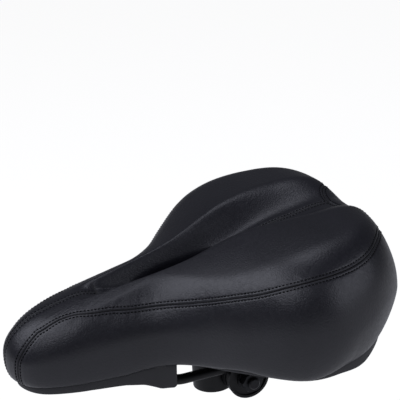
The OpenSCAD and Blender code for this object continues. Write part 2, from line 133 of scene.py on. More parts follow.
def seen_at(name, tree):
    """Place on a surface that shows at an image point: the ray through it meets the surface's tree, or,
    where it misses, the nearest place to the ray."""
    x, y = POINTS[name]
    long_side = max(W, H)
    way = CAMERA_AXES @ np.array([x - W / 2, H / 2 - y, -long_side * LENS / SENSOR])
    start, way = Vector(CAMERA_PLACE), Vector(way).normalized()
    hit = tree.ray_cast(start, way)[0]
    if hit is not None:
        return np.array(hit)
    tries = [tree.find_nearest(start + way * s) for s in np.linspace(0.7, 1.1, 200)]
    return np.array(min(tries, key=lambda t: t[3])[0])


# ---------------------------------------------------------------- shape tables, as in the CAD source
# the outline holds places from the nose to the rear, SEAM_ROW holds [u, w of the side seam], and every
# other table holds [X, value]; u runs round the outline, and w from the cut-out to the lower edge
SEAT_HEIGHT = 112
COVER_T = 1.2
PAN_T = 3.0
GEL_T = 6.0
HALF_OUTLINE = np.array([
    [141, 0], [132, 19.5], [109, 29], [78, 33.5], [50, 39.5], [27, 54], [5, 78], [-19, 97],
    [-48, 103], [-77, 94], [-99, 77], [-113, 55], [-120, 27], [-121, 0]])
CREST = [[-121, 86], [-96, 109], [-61, 111.5], [-21, 106.5], [19, 91.5], [59, 82.5], [99, 73.5],
         [141, 62]]
VALLEY = [[-121, 0], [-106, 4], [-86, 9.5], [-51, 14.5], [-11, 19.5], [39, 17], [62, 10.5], [76, 5],
          [86, 1], [94, 0], [141, 0]]
VALLEY_IN = [[-121, 6], [0, 5], [60, 4], [95, 3], [141, 3]]
VALLEY_OUT = [[-121, 29], [-61, 35], [0, 21], [50, 14], [95, 10], [141, 8]]
CROWN = [[-121, 3], [-61, 7.5], [0, 13.5], [60, 12], [141, 8]]
WIDEST = [[-121, 55.5], [-96, 65.5], [-61, 58], [-21, 58], [19, 52], [59, 50], [99, 44.5], [141, 41]]
ROUNDING = [[-121, 18.5], [-61, 40], [0, 40], [50, 26.5], [99, 25], [141, 27]]
TUCK = [[-121, 10.5], [-96, 11.5], [-61, 15], [0, 13], [50, 5.5], [99, 5], [141, 7]]
# the power of the curve under the side: above 1 the cover runs straighter in to its edge. The rear is a
# little less straight than in the CAD, as the photograph shows it
UNDER_POWER = [[-121, 1.35], [-65, 1.35], [-30, 0.87], [141, 0.87]]
COVER_RIM = [[-121, 44], [-96, 34], [-80, 29.5], [-61, 28], [-36, 25.5], [-15, 28.5], [5, 31.5], [20, 30],
             [45, 29.5], [62, 28], [75, 26.5], [141, 26]]
SKIRT_REAR = [[-121, 37], [-96, 26], [-82, 21], [-61, 22.5], [-36, 24.5], [-20, 28], [39, 29.5]]
SKIRT_FOOT = [[39, 11.5], [50, 11], [62, 16], [75, 18.5], [99, 20], [141, 21]]
PAN_SHOULDER = [[-121, 53], [-96, 45], [-61, 31], [-36, 28.5], [-15, 31.5], [5, 34.5], [20, 33],
                [45, 32.5], [62, 31], [75, 29.5], [141, 29]]
PAN_CROWN = [[-121, 62], [-90, 60], [-40, 55], [20, 49], [60, 46], [100, 47], [141, 46]]
SEAM_ROW = [[0, 0.5], [0.034, 0.5], [0.045, 0.42], [0.06, 0.405], [0.08, 0.435], [0.1, 0.48],
            [0.125, 0.535], [0.15, 0.565], [0.19, 0.565], [0.225, 0.54], [0.26, 0.54], [0.3, 0.55],
            [0.34, 0.565], [0.3625, 0.56], [0.3875, 0.53], [0.4125, 0.505], [0.4375, 0.5],
            [0.455, 0.42], [0.47, 0.37], [0.5, 0.35]]
NOSE_U = 0.034
REAR_U = 0.4375
FOOT_U = 0.1705
GEL_U = (0.265625, 0.421875)
GEL_V = (0.2827, 0.8733)
NOSE_LEAN = 0.013
FLAT_ZONE, ROUND_ZONE = 0.4, 0.75
POWER = 2 / 2.3
UNDER_TURN = math.radians(0.92 * 90)
HOLE = dict(back=-19, front=56, width=20, blunt=0.8)
SLOT = dict(back=-18, front=41, width=18, blunt=0.55)
FOOT_X = 39.0
LEDGE = 0.4
SKIRT_T = 2.8


def mix(a, b, f):
    """From a at f = 0 to b at f = 1."""
    return a + (b - a) * f


def ease(f):
    """Smooth step from 0 to 1, level at both ends."""
    g = np.clip(f, 0, 1)
    return g * g * (3 - 2 * g)


def smooth(table, x):
    """Table of [place, value] read with a cubic that passes through every value, its slope there being
    that of the line between the values on either side."""
    t = np.asarray(table, float)
    x = np.asarray(x, float)
    last = len(t) - 1
    before, after = np.maximum(np.arange(last + 1) - 1, 0), np.minimum(np.arange(last + 1) + 1, last)
    slope = (t[after, 1] - t[before, 1]) / (t[after, 0] - t[before, 0])
    i = np.clip(np.searchsorted(t[:, 0], x, side="right") - 1, 0, last - 1)
    h = t[i + 1, 0] - t[i, 0]
    f = np.clip((x - t[i, 0]) / h, 0, 1)
    return ((2 * f**3 - 3 * f**2 + 1) * t[i, 1] + (f**3 - 2 * f**2 + f) * h * slope[i]
            + (3 * f**2 - 2 * f**3) * t[i + 1, 1] + (f**3 - f**2) * h * slope[i + 1])


def outline(u):
    """Closed outline from above: a spline through the half outline and its mirror image, u from the nose
    tip (0) by the left side to the middle of the rear edge (0.5)."""
    ring = np.vstack([HALF_OUTLINE, HALF_OUTLINE[-2:0:-1] * [1, -1]])
    s = np.asarray(u, float) * len(ring)
    i = np.floor(s).astype(int)
    f = (s - i)[..., None]
    a, b, c, d = (ring[(i + k) % len(ring)] for k in (-1, 0, 1, 2))
    return 0.5 * (2 * b + (c - a) * f + (2 * a - 5 * b + 4 * c - d) * f**2 + (3 * b - a - 3 * c + d) * f**3)


def loop(u, back, front, width, blunt):
    """Closed loop inside the outline: a sine to a power gives it a pointed or a round end."""
    s = np.sin(2 * np.pi * u)
    return np.stack([mix(back, front, 0.5 + 0.5 * np.cos(2 * np.pi * u)),
                     np.sign(s) * width / 2 * np.abs(s)**blunt], axis=-1)


def top_height(x, y):
    """Upper face: the crest's height, less the channel's depth near the middle, less a parabola that
    falls to each side."""
    side = np.abs(y)
    v0, v1 = smooth(VALLEY_IN, x), smooth(VALLEY_OUT, x)
    half_width = np.maximum(20, smooth(HALF_OUTLINE[::-1], x))
    dip = smooth(VALLEY, x) * (1 - ease((side - v0) / (v1 - v0)))
    return SEAT_HEIGHT / 112 * (smooth(CREST, x) - dip) - smooth(CROWN, x) * (side / half_width)**2


def skin(u, w, inset):
    """Skin of the seat: from the cut-out (w = 0) over the top, round the side on a superellipse and in
    under it to the lower edge (w = 1), moved in by `inset`."""
    u, w, inset = np.broadcast_arrays(*(np.asarray(v, float) for v in (u, w, inset)))
    o, h = outline(u), loop(u, **HOLE)
    length = np.linalg.norm(o - h, axis=-1)
    d = (o - h) / length[..., None]
    r = np.minimum(smooth(ROUNDING, o[..., 0]), 0.9 * length)
    e = smooth(WIDEST, o[..., 0])
    a = np.pi / 2 * np.clip((w - FLAT_ZONE) / (ROUND_ZONE - FLAT_ZONE), 0, 1)
    b = UNDER_TURN * np.clip((w - ROUND_ZONE) / (1 - ROUND_ZONE), 0, 1)
    back = np.where(w <= FLAT_ZONE, length - (length - r) * w / FLAT_ZONE, r - (r - inset) * np.sin(a)**POWER)
    n = np.interp(o[..., 0], *np.transpose(UNDER_POWER))
    under = inset + smooth(TUCK, o[..., 0]) * (1 - np.cos(b)**n)
    p = o - d * np.where(w <= ROUND_ZONE, back, under)[..., None]
    top = top_height(p[..., 0], p[..., 1]) - inset
    z_top = np.where(w <= FLAT_ZONE, top, e + (top - e) * np.cos(a)**POWER)
    z_under = mix(e, smooth(COVER_RIM, o[..., 0]), (np.sin(b) / np.sin(UNDER_TURN))**n)
    return np.concatenate([p, np.where(w <= ROUND_ZONE, z_top, z_under)[..., None]], axis=-1)


def lean(u):
    """The nose seam leans forward as it goes down; the lean fades out along the side."""
    return NOSE_LEAN * np.where(u < NOSE_U, u / NOSE_U, 1 - ease((u - NOSE_U) / 0.08))


def cover_point(u, v, inset):
    """Cover of the left half: v from 0 at the cut-out to 1 at the seam and 2 at the lower edge."""
    u, v = np.asarray(u, float), np.asarray(v, float)
    row, f = smooth(SEAM_ROW, u), np.clip(v - 1, 0, 1)
    return skin(u - lean(u) * f, np.where(v <= 1, row * v, mix(row, 1, f)), inset)


# ---------------------------------------------------------------- meshes
def spread(stops, coarse, fine, near, growth):
    """Values that land on every stop: `fine` apart within `near` of a stop, and further apart from there
    on by `growth` for each step away, up to `coarse`."""
    out = [stops[0]]
    for a, b in zip(stops[:-1], stops[1:]):
        x = np.linspace(a, b, 800)
        gap = np.minimum(coarse, fine + growth * np.maximum(0, np.minimum(x - a, b - x) - near))
        count = np.concatenate([[0], np.cumsum(np.diff(x) * 2 / (gap[1:] + gap[:-1]))])
        out.extend(np.interp(np.linspace(0, count[-1], max(3, round(count[-1])) + 1)[1:], count, x))
    return np.array(out)


def piece(name, points, faces, material, sharp=35, join_shade=None):
    """Mesh object on the seat from points in millimetres and faces, smooth except at edges over `sharp`
    degrees; how far each point lies in a seam's join, if given, goes into its join_shade attribute,
    the mask by which the leather paints shade into the joins."""
    used, flat = np.unique(np.concatenate([f.ravel() for f in faces]), return_inverse=True)
    mesh = bpy.data.meshes.new(name)
    sizes = np.concatenate([np.full(len(f), f.shape[1]) for f in faces])
    mesh.vertices.add(len(used))
    mesh.vertices.foreach_set("co", (points.reshape(-1, 3)[used] * MM).ravel().astype(np.float32))
    mesh.loops.add(len(flat))
    mesh.loops.foreach_set("vertex_index", flat.ravel().astype(np.int32))
    mesh.polygons.add(len(sizes))
    mesh.polygons.foreach_set("loop_start", np.concatenate([[0], np.cumsum(sizes)[:-1]]).astype(np.int32))
    mesh.update(calc_edges=True)
    mesh.validate()
    if join_shade is not None:
        mesh.attributes.new("join_shade", "FLOAT", "POINT").data.foreach_set("value", join_shade.ravel()[used])
    mesh.shade_smooth()
    mesh.set_sharp_from_angle(angle=math.radians(sharp))
    mesh.materials.append(material)
    obj = bpy.data.objects.new(name, mesh)
    bpy.context.collection.objects.link(obj)
    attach(obj, "seat")
    return obj


def cells(n, m, around=False, closed=False):
    """Corner numbers of the cells of an n by m grid, closed up along either direction if asked."""
    i = np.arange(n if around else n - 1)[:, None]
    j = np.arange(m if closed else m - 1)[None, :]
    i2, j2 = (i + 1) % n, (j + 1) % m
    return np.stack(np.broadcast_arrays(i * m + j, i * m + j2, i2 * m + j2, i2 * m + j), axis=-1)


def sheet_faces(n, m, keep, flip):
    """Closed thin sheet over the kept cells of two n by m grids, upper and under: both faces and a wall
    along every free edge."""
    upper = cells(n, m)
    under = upper[..., ::-1] + n * m
    pad = np.zeros((n + 1, m + 1), bool)
    pad[1:-1, 1:-1] = keep
    faces = [upper[keep], under[keep]]
    sides = [(pad[1:-1, :-2], 3, 0), (pad[2:, 1:-1], 2, 3), (pad[1:-1, 2:], 1, 2), (pad[:-2, 1:-1], 0, 1)]
    for beyond, p, q in sides:
        free = upper[keep & ~beyond]
        faces.append(np.stack([free[:, q], free[:, p], free[:, p] + n * m, free[:, q] + n * m], axis=-1))
    faces = np.concatenate(faces)
    return faces[:, ::-1] if flip else faces


def both_halves(points):
    """The left half's sections, nose to rear, followed by their mirror images back to the nose."""
    return np.concatenate([points, points[-2:0:-1] * [1, -1, 1]])


def mirrored(points):
    """The same points on the right side."""
    return points * [1, -1, 1]


# ---------------------------------------------------------------- materials
def linear(code):
    """sRGB hex colour as linear red, green, blue and 1."""
    c = np.array([int(code[i:i + 2], 16) for i in (1, 3, 5)]) / 255
    return (*np.where(c <= 0.04045, c / 12.92, ((c + 0.055) / 1.055)**2.4), 1)


def add(tree, kind, settings=(), **inputs):
    """Adds a node: settings are its own fields, and inputs are values or the sockets to link."""
    node = tree.nodes.new(kind)
    for key, value in dict(settings).items():
        setattr(node, key, value)
    for key, value in inputs.items():
        socket = node.inputs[int(key[1:])] if key[0] == "_" else node.inputs[key.replace("_", " ")]
        if isinstance(value, bpy.types.NodeSocket):
            tree.links.new(value, socket)
        else:
            socket.default_value = value
    return node


def new_material(name):
    """Empty node material and its tree, with an output node."""
    made = bpy.data.materials.new(name)
    made.use_nodes = True
    made.node_tree.nodes.clear()
    return made, made.node_tree


def embossed_leather(name, dark, light):
    """Polyurethane synthetic leather, roller-embossed with a fine pebble grain and a satin topcoat: a
    dark, slightly blue black whose broad soft highlights break up in the grain."""
    made, tree = new_material(name)
    place = add(tree, "ShaderNodeTexCoord").outputs["Object"]
    # grain pebbles are about 0.9 mm across, drawn at 1.1 mm so that they show
    pebbles = add(tree, "ShaderNodeTexVoronoi", {"feature": "SMOOTH_F1"}, Vector=place, Scale=900.0,
                  Smoothness=0.6)
    creases = add(tree, "ShaderNodeTexNoise", Vector=place, Scale=420.0, Detail=4.0, Roughness=0.6)
    # handling marks and the drape of the padding, 30 to 60 mm across
    clouds = add(tree, "ShaderNodeTexNoise", Vector=place, Scale=24.0, Detail=3.0, Roughness=0.5)
    tone = add(tree, "ShaderNodeMapRange", _0=clouds.outputs["Fac"], _1=0.3, _2=0.7)
    colour = add(tree, "ShaderNodeMix", {"data_type": "RGBA"}, _0=tone.outputs[0], _6=linear(dark),
                 _7=linear(light))
    rough = add(tree, "ShaderNodeMapRange", _0=creases.outputs["Fac"], _1=0.3, _2=0.7, _3=0.34, _4=0.44)
    # the cut edges folded down into a seam's join have no topcoat, and the join is also painted near black
    # and fully rough as the shade that falls into it
    join = add(tree, "ShaderNodeAttribute", {"attribute_name": "join_shade"}).outputs["Fac"]
    colour = add(tree, "ShaderNodeMix", {"data_type": "RGBA"}, _0=join, _6=colour.outputs[2],
                 _7=linear("#010101"))
    rough = add(tree, "ShaderNodeMix", _0=join, _2=rough.outputs[0], _3=1.0)
    height = add(tree, "ShaderNodeMath", {"operation": "MULTIPLY_ADD"}, _0=creases.outputs["Fac"], _1=0.6,
                 _2=pebbles.outputs["Distance"])
    bump = add(tree, "ShaderNodeBump", Strength=0.22, Distance=0.0004, Height=height.outputs[0])
    shader = add(tree, "ShaderNodeBsdfPrincipled", Base_Color=colour.outputs[2], Roughness=rough.outputs[0],
                 IOR=1.48, Normal=bump.outputs[0])
    add(tree, "ShaderNodeOutputMaterial", Surface=shader.outputs[0])
    return made


def moulded_polypropylene():
    """Injection-moulded polypropylene with a spark-eroded texture: an even, dull black."""
    made, tree = new_material("moulded_polypropylene")
    place = add(tree, "ShaderNodeTexCoord").outputs["Object"]
    # the texture's pits are about 0.15 mm across, drawn at 0.5 mm so that they show
    pits = add(tree, "ShaderNodeTexNoise", Vector=place, Scale=1900.0, Detail=2.0)
    flow = add(tree, "ShaderNodeTexNoise", Vector=place, Scale=30.0, Detail=2.0)
    tone = add(tree, "ShaderNodeMapRange", _0=flow.outputs["Fac"], _1=0.35, _2=0.65)
    colour = add(tree, "ShaderNodeMix", {"data_type": "RGBA"}, _0=tone.outputs[0], _6=linear("#0f0f13"),
                 _7=linear("#141418"))
    rough = add(tree, "ShaderNodeMapRange", _0=pits.outputs["Fac"], _1=0.3, _2=0.7, _3=0.5, _4=0.62)
    bump = add(tree, "ShaderNodeBump", Strength=0.15, Distance=0.0002, Height=pits.outputs["Fac"])
    shader = add(tree, "ShaderNodeBsdfPrincipled", Base_Color=colour.outputs[2], Roughness=rough.outputs[0],
                 IOR=1.49, Normal=bump.outputs[0])
    add(tree, "ShaderNodeOutputMaterial", Surface=shader.outputs[0])
    return made


def black_enamel():
    """Steel under semi-gloss black stoving enamel: a dark coat with a clear reflection and a slight
    orange-peel ripple, worn a little greyer in patches."""
    made, tree = new_material("black_enamel")
    place = add(tree, "ShaderNodeTexCoord").outputs["Object"]
    # orange peel, ripples about 1.5 mm across
    peel = add(tree, "ShaderNodeTexNoise", Vector=place, Scale=650.0, Detail=1.0)
    wear = add(tree, "ShaderNodeTexNoise", Vector=place, Scale=120.0, Detail=5.0, Roughness=0.65)
    worn = add(tree, "ShaderNodeMapRange", _0=wear.outputs["Fac"], _1=0.55, _2=0.75)
    colour = add(tree, "ShaderNodeMix", {"data_type": "RGBA"}, _0=worn.outputs[0], _6=linear("#060607"),
                 _7=linear("#0d0d0f"))
    rough = add(tree, "ShaderNodeMapRange", _0=wear.outputs["Fac"], _1=0.35, _2=0.75, _3=0.36, _4=0.5)
    bump = add(tree, "ShaderNodeBump", Strength=0.08, Distance=0.0002, Height=peel.outputs["Fac"])
    shader = add(tree, "ShaderNodeBsdfPrincipled", Base_Color=colour.outputs[2], Roughness=rough.outputs[0],
                 IOR=1.32, Normal=bump.outputs[0])
    add(tree, "ShaderNodeOutputMaterial", Surface=shader.outputs[0])
    return made


def black_zinc():
    """Steel fasteners with black passivated zinc: a thin dark metallic film with a faint sheen."""
    made, tree = new_material("black_zinc")
    place = add(tree, "ShaderNodeTexCoord").outputs["Object"]
    # blotches of the passivation bath, about 2 mm across
    film = add(tree, "ShaderNodeTexNoise", Vector=place, Scale=500.0, Detail=4.0, Roughness=0.6)
    tone = add(tree, "ShaderNodeMapRange", _0=film.outputs["Fac"], _1=0.35, _2=0.7)
    colour = add(tree, "ShaderNodeMix", {"data_type": "RGBA"}, _0=tone.outputs[0], _6=linear("#111113"),
                 _7=linear("#1d1e21"))
    rough = add(tree, "ShaderNodeMapRange", _0=film.outputs["Fac"], _1=0.3, _2=0.7, _3=0.36, _4=0.5)
    bump = add(tree, "ShaderNodeBump", Strength=0.1, Distance=0.0001, Height=film.outputs["Fac"])
    shader = add(tree, "ShaderNodeBsdfPrincipled", Base_Color=colour.outputs[2], Roughness=rough.outputs[0],
                 Metallic=0.6, Normal=bump.outputs[0])
    add(tree, "ShaderNodeOutputMaterial", Surface=shader.outputs[0])
    return made


def bonded_thread():
    """Bonded polyester sewing thread, three plies twisted: black, a touch shinier than the leather, and
    painted darker than its own black as the shade in the sunk stitches.
    """
    made, tree = new_material("bonded_thread")
    place = add(tree, "ShaderNodeTexCoord").outputs["Object"]
    plies = add(tree, "ShaderNodeTexNoise", Vector=place, Scale=2600.0, Detail=1.0)
    bump = add(tree, "ShaderNodeBump", Strength=0.3, Distance=0.0001, Height=plies.outputs["Fac"])
    # the thread's black is painted darker than it is, as the shade that falls in the sunk stitches
    tone = add(tree, "ShaderNodeMix", {"data_type": "RGBA"}, _0=plies.outputs["Fac"], _6=linear("#020203"),
               _7=linear("#050506"))
    shader = add(tree, "ShaderNodeBsdfPrincipled", Base_Color=tone.outputs[2], Roughness=0.85, IOR=1.25,
                 Normal=bump.outputs[0])
    add(tree, "ShaderNodeOutputMaterial", Surface=shader.outputs[0])
    return made


def open_cell_foam():
    """Moulded polyurethane foam with a thin skin: a pale warm grey with fine open cells."""
    made, tree = new_material("open_cell_foam")
    place = add(tree, "ShaderNodeTexCoord").outputs["Object"]
    foam_cells = add(tree, "ShaderNodeTexVoronoi", Vector=place, Scale=1300.0)
    bump = add(tree, "ShaderNodeBump", Strength=0.6, Distance=0.0004, Height=foam_cells.outputs["Distance"])
    tone = add(tree, "ShaderNodeMix", {"data_type": "RGBA"}, _0=foam_cells.outputs["Distance"],
               _6=linear("#cfc9b8"), _7=linear("#b5ae9b"))
    shader = add(tree, "ShaderNodeBsdfPrincipled", Base_Color=tone.outputs[2], Roughness=0.9,
                 Normal=bump.outputs[0])
    add(tree, "ShaderNodeOutputMaterial", Surface=shader.outputs[0])
    return made


def soft_gel():
    """Cast urethane gel in a thin film: blue, soft and slightly wet."""
    made, tree = new_material("soft_gel")
    place = add(tree, "ShaderNodeTexCoord").outputs["Object"]
    cloud = add(tree, "ShaderNodeTexNoise", Vector=place, Scale=90.0, Detail=2.0)
    tone = add(tree, "ShaderNodeMix", {"data_type": "RGBA"}, _0=cloud.outputs["Fac"], _6=linear("#5f7aa6"),
               _7=linear("#7f96bd"))
    rough = add(tree, "ShaderNodeMapRange", _0=cloud.outputs["Fac"], _3=0.2, _4=0.35)
    shader = add(tree, "ShaderNodeBsdfPrincipled", Base_Color=tone.outputs[2], Roughness=rough.outputs[0],
                 IOR=1.45)
    add(tree, "ShaderNodeOutputMaterial", Surface=shader.outputs[0])
    return made


TOP_LEATHER = embossed_leather("top_leather", "#0c0c13", "#121219")
SIDE_LEATHER = embossed_leather("side_leather", "#0c0c13", "#121219")
PLASTIC = moulded_polypropylene()
ENAMEL = black_enamel()
ZINC = black_zinc()
THREAD = bonded_thread()
FOAM = open_cell_foam()
GEL = soft_gel()


# ---------------------------------------------------------------- cover grid
U = spread([0, NOSE_U, REAR_U, 0.5], 0.0021, 0.0007, 0.006, 0.15)
V = spread([0, 0.59, 1, 2], 0.02, 0.0065, 0.05, 0.15)
BASE_U = spread([0, FOOT_U, 0.5], 0.003, 0.0006, 0.004, 0.3)
NOSE_I, REAR_I = (int(np.argmin(np.abs(U - u))) for u in (NOSE_U, REAR_U))
SEAM_J = int(np.argmin(np.abs(V - 1)))
BARE = cover_point(U[:, None], V[None, :], 0.0)
GRID_CELLS = cells(len(U), len(V)).reshape(-1, 4)
# millimetres: from the join to a row of stitches, from stitch to stitch, the thread's radius, the rolled
# edge of the cut-out, and the widths of the join, of a row's dent and of what a seam presses in
ROW_GAP = 2.05
STITCH = 2.3
THREAD_R = 0.4
CUT_ROLL = 2.5
JOIN_WIDE, DENT_WIDE, PRESS_WIDE = 0.4, 0.45, 5
# the crossing seam at the front of the channel: half its length, its depth and how far it presses in
CROSS_HALF, CROSS_DEEP, CROSS_PRESS = 8.0, 0.5, 0.35
# X of the ends of the stitches along the middle behind the cut-out
STITCHED_REAR = (-90.5, -21.7)


def tree_of(grid):
    """Search tree of a half grid in millimetres and its mirror image, in metres."""
    both = np.concatenate([grid.reshape(-1, 3), mirrored(grid).reshape(-1, 3)]) * MM
    faces = np.concatenate([GRID_CELLS, GRID_CELLS[:, ::-1] + grid.size // 3])
    return BVHTree.FromPolygons(both.tolist(), faces.tolist())


BARE_TREE = tree_of(BARE)
# X of the crossing seam, from its image point, within the part where the channel runs out
CROSS_X = float(np.clip(seen_at("channel_end", BARE_TREE)[0] / MM, 74, 82))


def away(points, line):
    """Distance of each point of a grid from a line of closely set points, block by block."""
    fine = np.stack([np.interp(np.linspace(0, 1, 4 * len(line)), np.linspace(0, 1, len(line)), line[:, k])
                     for k in range(3)], axis=-1)
    blocks = np.array_split(points, max(1, len(points) // 8))
    return np.concatenate([np.sqrt(((b[..., None, :] - fine)**2).sum(-1).min(-1)) for b in blocks])


MIDDLE_FRONT = BARE[0][BARE[0, :, 0] > CROSS_X]
MIDDLE_REAR = BARE[-1][(BARE[-1, :, 0] > STITCHED_REAR[0] - 2) & (BARE[-1, :, 0] < STITCHED_REAR[1])]
# every seam of the left half: its line on the bare skin, how deep the join is and how far it presses in
SEAMS = [
    (np.concatenate([BARE[NOSE_I, SEAM_J:][::-1], BARE[NOSE_I:REAR_I + 1, SEAM_J]]), 1.0, 0.12),
    (BARE[REAR_I, SEAM_J:], 0.9, 0.15),
    (BARE[REAR_I:, SEAM_J], 0.9, 0.15),
    (MIDDLE_FRONT, 0.5, 0.1),
    (MIDDLE_REAR, 0.6, 0.15),
]


def from_crossing(points):
    """Distance in plan from the crossing seam, for points on top of the seat."""
    off = np.hypot(points[..., 0] - CROSS_X, np.maximum(points[..., 1] - CROSS_HALF, 0))
    return off + 99 * (points[..., 2] < 50)


def in_join(points):
    """0.9 in the join of a seam or of the crossing seam, and a bell curve to 0 within a millimetre: the mask
    of the shade painted into the joins.
    """
    near = np.min([away(points, line) for line, _, _ in SEAMS], axis=0)
    near = np.minimum(near, from_crossing(points))
    return (0.9 * np.exp(-(near / 0.5)**2)).astype(np.float32)


def pressed_in(points, along):
    """How far the sewn cover lies under the bare skin: at a seam the join is a narrow groove, a row of
    stitches dents it on either side, and the padding presses in over 5 mm; small puckers run out from
    the side seam, and the edge of the cut-out and the hem are rolled."""
    groove, press = 0.0, 0.0
    for line, deep, wide in SEAMS:
        d = away(points, line)
        dent = 0.25 * np.exp(-((d - ROW_GAP) / DENT_WIDE)**2)
        groove = np.maximum(groove, deep * np.exp(-(d / JOIN_WIDE)**2) + dent)
        press = np.maximum(press, wide * (1 - ease(d / PRESS_WIDE)))
    cross = from_crossing(points)
    groove = np.maximum(groove, CROSS_DEEP * np.exp(-(cross / 0.5)**2))
    press = np.maximum(press, CROSS_PRESS * (1 - ease(cross / 4)))
    d = away(points, SEAMS[0][0])
    # three waves 12, 8 and 5 mm long, strongest 4.5 mm from the seam
    wave = np.sin(along * 0.53 + 1.3) + np.sin(along * 0.83) + np.sin(along * 1.21 + 0.4)
    pucker = 0.035 * wave * np.exp(-((d - 4.5) / 3.2)**2)
    from_cut = np.linalg.norm(points - points[:, :1], axis=-1)
    roll = CUT_ROLL - np.sqrt(np.maximum(0, CUT_ROLL**2 - np.maximum(0, CUT_ROLL - from_cut)**2))
    hem = 0.35 * (1 - ease(np.linalg.norm(points - points[:, -1:], axis=-1) / 1.5))
    return groove + press + pucker + roll + hem


ALONG = np.concatenate([[0], np.cumsum(np.linalg.norm(np.diff(BARE[:, SEAM_J], axis=0), axis=-1))])[:, None]
INSET = pressed_in(BARE, ALONG)
# how much shade is painted into the joins of the seams, read by the leather's colour
JOIN_SHADE_MASK = in_join(BARE)
OUTER = cover_point(U[:, None], V[None, :], INSET)
INNER = cover_point(U[:, None], V[None, :], INSET + COVER_T)
OUTER_TREE = tree_of(OUTER)


def cover_panels():
    """Every panel of the cover: a closed sheet between the outer and the inner skin over its own cells."""
    i, j = np.arange(len(U) - 1)[:, None], np.arange(len(V) - 1)[None, :]
    top = (j < SEAM_J) | (i < NOSE_I)
    side = (j >= SEAM_J) & (i >= NOSE_I) & (i < REAR_I)
    both = np.stack([OUTER, INNER])
    # painted shade in the joins, on the outer skin only
    join_shade = np.stack([JOIN_SHADE_MASK, np.zeros_like(JOIN_SHADE_MASK)])
    made = []
    for keep, kind, material in ((top, "top", TOP_LEATHER), (side, "side", SIDE_LEATHER)):
        for hand, grid in (("left", both), ("right", mirrored(both))):
            faces = sheet_faces(len(U), len(V), keep, hand == "right")
            made.append((piece(f"{kind}_panel_{hand}", grid, [faces], material,
                               join_shade=join_shade), f"cover_{kind}_{hand}"))
    rear = np.stack([np.concatenate([g[REAR_I:], mirrored(g[REAR_I:-1])[::-1]]) for g in both])
    keep = np.ones((rear.shape[1] - 1, 1), bool) & (j >= SEAM_J)
    faces = sheet_faces(rear.shape[1], len(V), keep, False)
    join_shade = np.concatenate([join_shade[:, REAR_I:], join_shade[:, REAR_I:-1][:, ::-1]], axis=1)
    made.append((piece("rear_panel", rear, [faces], SIDE_LEATHER, join_shade=join_shade),
                 "cover_rear"))
    for obj, node in made:
        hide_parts(node)


# ---------------------------------------------------------------- foam, gel and lining
def some(count, step):
    """Every step-th number below count, and the last one."""
    return np.unique(np.append(np.arange(0, count, step), count - 1))


def gel_depth(u, v):
    """Depth of the gel: a product of sines over its patch, to the power 0.7."""
    row = 9 * v**(1 / 1.15)
    a, b = (u - GEL_U[0]) / (GEL_U[1] - GEL_U[0]), (row - 3) / 5
    inside = (a > 0) & (a < 1) & (b > 0) & (b < 1)
    bump = np.sin(np.pi * np.clip(a, 0, 1)) * np.sin(np.pi * np.clip(b, 0, 1))
    return np.where(inside, GEL_T * np.abs(bump)**0.7, 0)


def rim_place(u, inset, z):
    """Place on the lower edge of the skin, moved in by `inset`, at height z."""
    p = skin(u - lean(u), 1.0, inset)
    return np.concatenate([p[..., :2], np.broadcast_to(z, u.shape)[..., None]], axis=-1)


def rim_height(u):
    """Height of the cover's lower edge."""
    return smooth(COVER_RIM, outline(u - lean(u))[..., 0])


def skirt_height(u):
    """Height of the skirt's lower edge: behind the foot it follows the cover, and the foot under the nose
    has a rear corner rounded to 3 mm."""
    x = outline(u - lean(u))[..., 0]
    rear = smooth(SKIRT_REAR, x)
    corner = 3 - np.sqrt(np.maximum(0, 9 - np.maximum(0, FOOT_X + 3 - x)**2))
    foot = np.interp(x, *np.transpose(SKIRT_FOOT)) + corner
    return np.minimum(rim_height(u) - 0.5, np.where(x < FOOT_X, rear, foot))


def pan_edge(u):
    """Shoulder of the base inside the cover."""
    return rim_place(u, COVER_T + 2, smooth(PAN_SHOULDER, outline(u - lean(u))[..., 0]))


def pan_top(u, f):
    """Upper face of the base, from the cut-out (f = 0) to its shoulder (f = 1): a crown along the length,
    blended to the shoulder by the cube of f."""
    plan = mix(loop(u - lean(u), **HOLE), pan_edge(u)[..., :2], f)
    z = mix(smooth(PAN_CROWN, plan[..., 0]), pan_edge(u)[..., 2], max(f, 0)**3)
    return np.concatenate([plan, z[..., None]], axis=-1)


def lower(p, by):
    """The same places, lower down."""
    return p - [0, 0, by]


def ring(name, sections, material, slot, flip):
    """Closed ring round the cut-out from the left half's sections."""
    points = both_halves(sections)
    faces = cells(points.shape[0], points.shape[1], around=True, closed=True).reshape(-1, 4)
    return piece(name, points, [faces[:, ::-1] if flip else faces], material)


def from_cut(u, by, z):
    """Place `by` millimetres outward from the edge of the cut-out in plan, at height z."""
    edge = loop(u, **HOLE)
    plan = edge + by * unit(outline(u) - edge)
    return np.concatenate([plan, z[..., None]], axis=-1)


